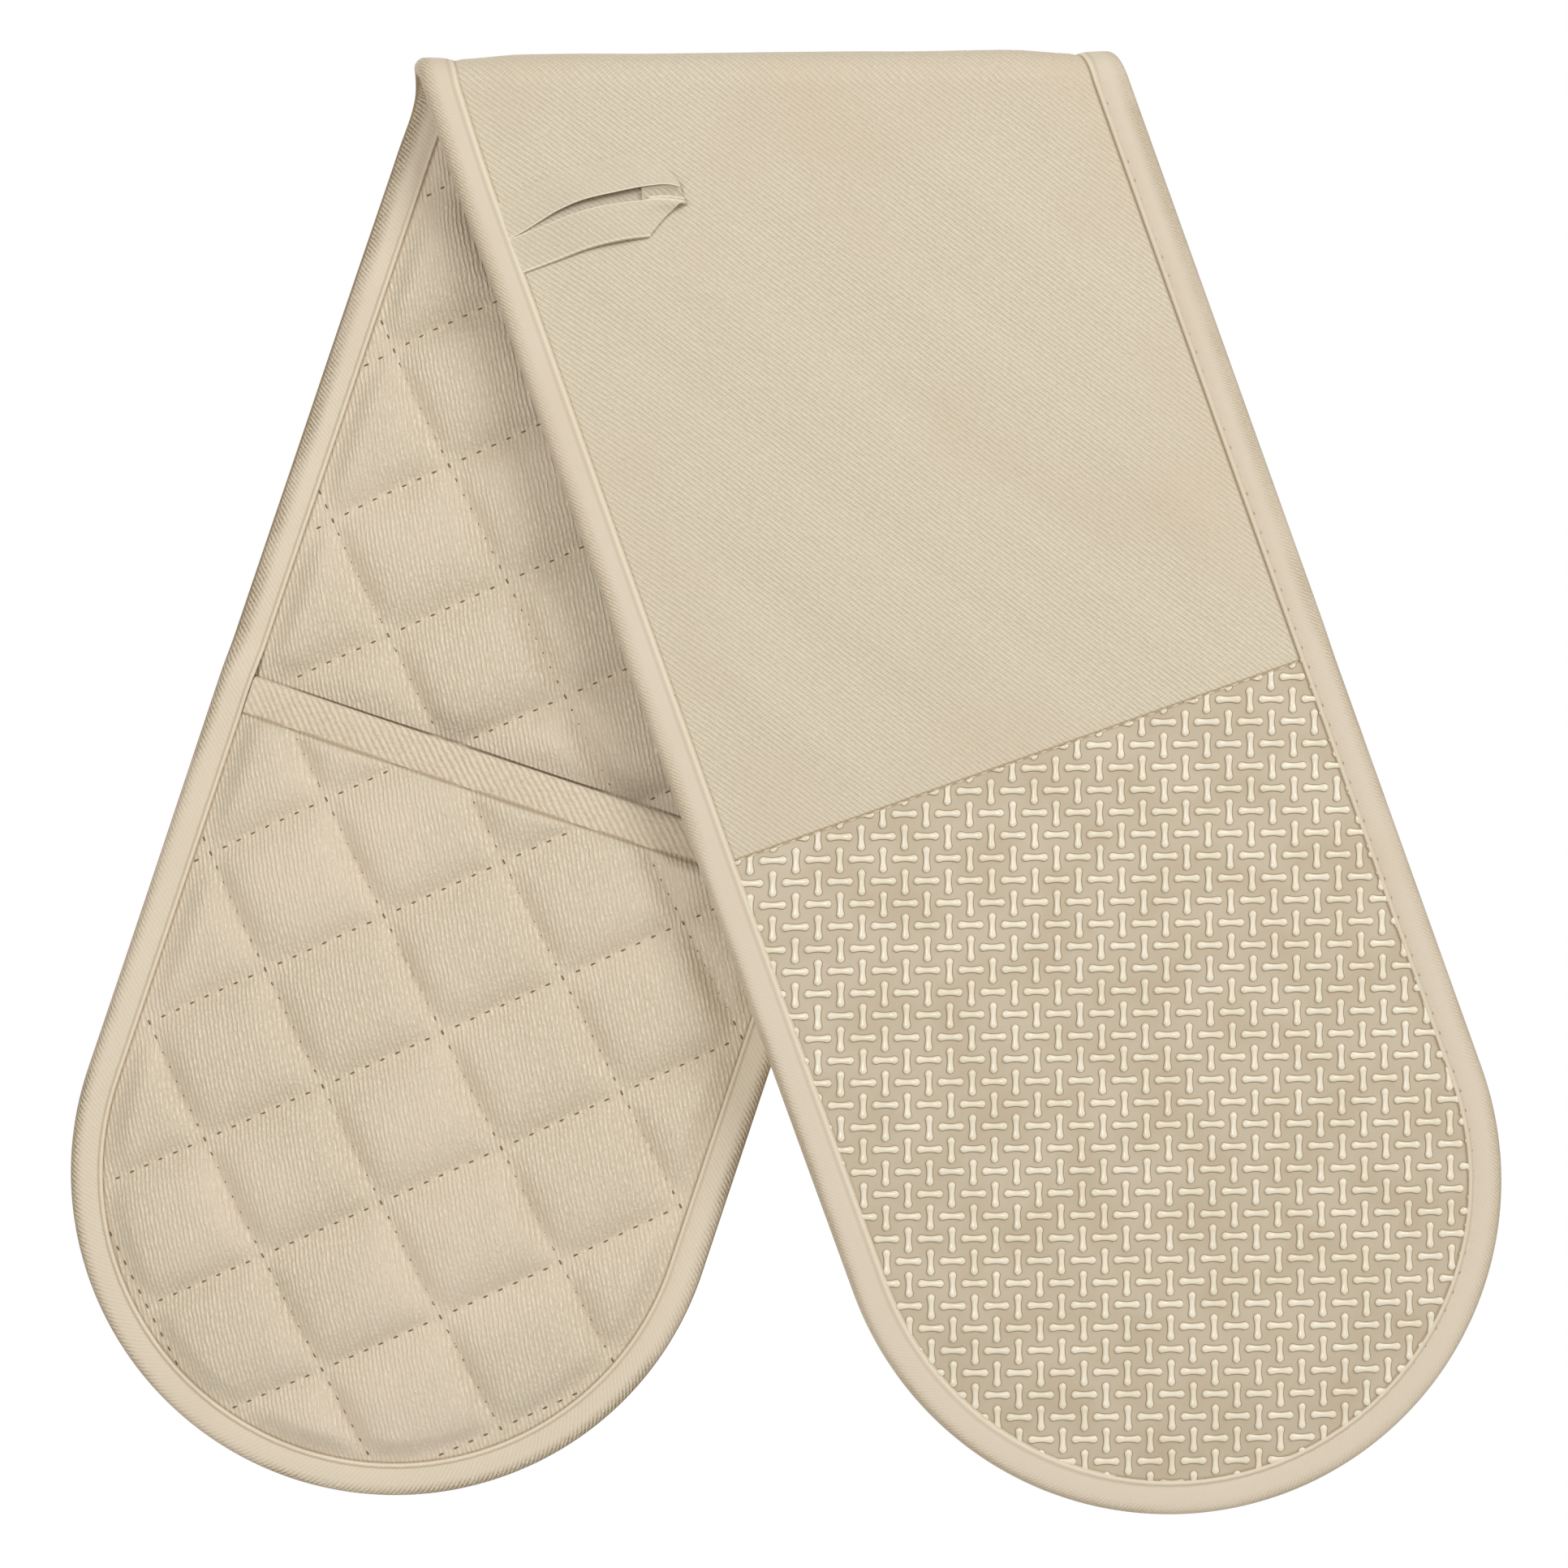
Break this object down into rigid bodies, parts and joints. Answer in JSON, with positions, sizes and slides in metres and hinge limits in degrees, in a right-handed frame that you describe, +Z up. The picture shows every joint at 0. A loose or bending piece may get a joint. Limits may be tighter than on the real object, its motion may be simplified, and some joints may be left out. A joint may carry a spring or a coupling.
{
  "type": "double oven glove",
  "caption": "Double oven glove: a quilted strip folded over a rail, with a silicone-faced mitt pocket at each round end and a hanging loop.",
  "frame": {"origin": "on the lining at the middle of the inside of the fold, where the glove lies over a rail", "axes": "+Z up along the hanging glove, X along the fold and the rail, front arm at -Y, back arm at +Y"},
  "size_m": [0.413, 0.038, 0.4185],
  "materials": {
    "shell_twill": "plain cotton twill, matt",
    "lining_cloth": "cotton lining, matt",
    "edge_tape": "bias cut twill tape, matt",
    "insulation": "needled felt, matt",
    "silicone": "silicone, smooth raised bars"
  },
  "bodies": {
    "crest": {"crest_shell": "shell_twill", "crest_insulation": "insulation", "crest_lining": "lining_cloth", "crest_edge_tape_left": "edge_tape", "crest_edge_tape_right": "edge_tape"},
    "front_strip": {"front_strip_shell": "shell_twill", "front_strip_insulation": "insulation", "front_quilted_lining": "lining_cloth", "front_edge_tape_inner": "edge_tape", "front_edge_tape_outer": "edge_tape"},
    "front_mitt": {"front_silicone_patch": "silicone", "front_mitt_insulation": "insulation", "front_mitt_lining": "lining_cloth", "front_pocket_lining": "lining_cloth", "front_pocket_panel": "lining_cloth", "front_mouth_tape": "edge_tape", "front_mitt_edge_tape": "edge_tape"},
    "back_strip": {"back_strip_shell": "shell_twill", "back_strip_insulation": "insulation", "back_quilted_lining": "lining_cloth", "back_edge_tape_inner": "edge_tape", "back_edge_tape_outer": "edge_tape"},
    "back_mitt": {"back_silicone_patch": "silicone", "back_mitt_insulation": "insulation", "back_mitt_lining": "lining_cloth", "back_pocket_lining": "lining_cloth", "back_pocket_panel": "lining_cloth", "back_mouth_tape": "edge_tape", "back_mitt_edge_tape": "edge_tape"},
    "loop": {"hanging_loop": "edge_tape"}
  },
  "joints": [
    {"name": "front_strip_swing", "type": "hinge", "parent": "crest", "child": "front_strip", "pos_m": [0, -0.0105, -0.00578], "axis": [-1, 0, 0], "range_deg": [0, 90]},
    {"name": "back_strip_swing", "type": "hinge", "parent": "crest", "child": "back_strip", "pos_m": [0, 0.0105, -0.00578], "axis": [1, 0, 0], "range_deg": [0, 90]},
    {"name": "front_mitt_bend", "type": "hinge", "parent": "front_strip", "child": "front_mitt", "pos_m": [0.07069, -0.01456, -0.19973], "axis": [-0.9459, -0.0068, -0.3245], "range_deg": [0, 75]},
    {"name": "back_mitt_bend", "type": "hinge", "parent": "back_strip", "child": "back_mitt", "pos_m": [-0.07069, 0.01456, -0.19973], "axis": [0.9459, 0.0068, -0.3245], "range_deg": [0, 75]},
    {"name": "loop_swing", "type": "hinge", "parent": "front_strip", "child": "loop", "pos_m": [-0.07143, -0.0119, -0.04871], "axis": [0.3246, -0.0198, -0.9457], "range_deg": [0, 150]}
  ]
}
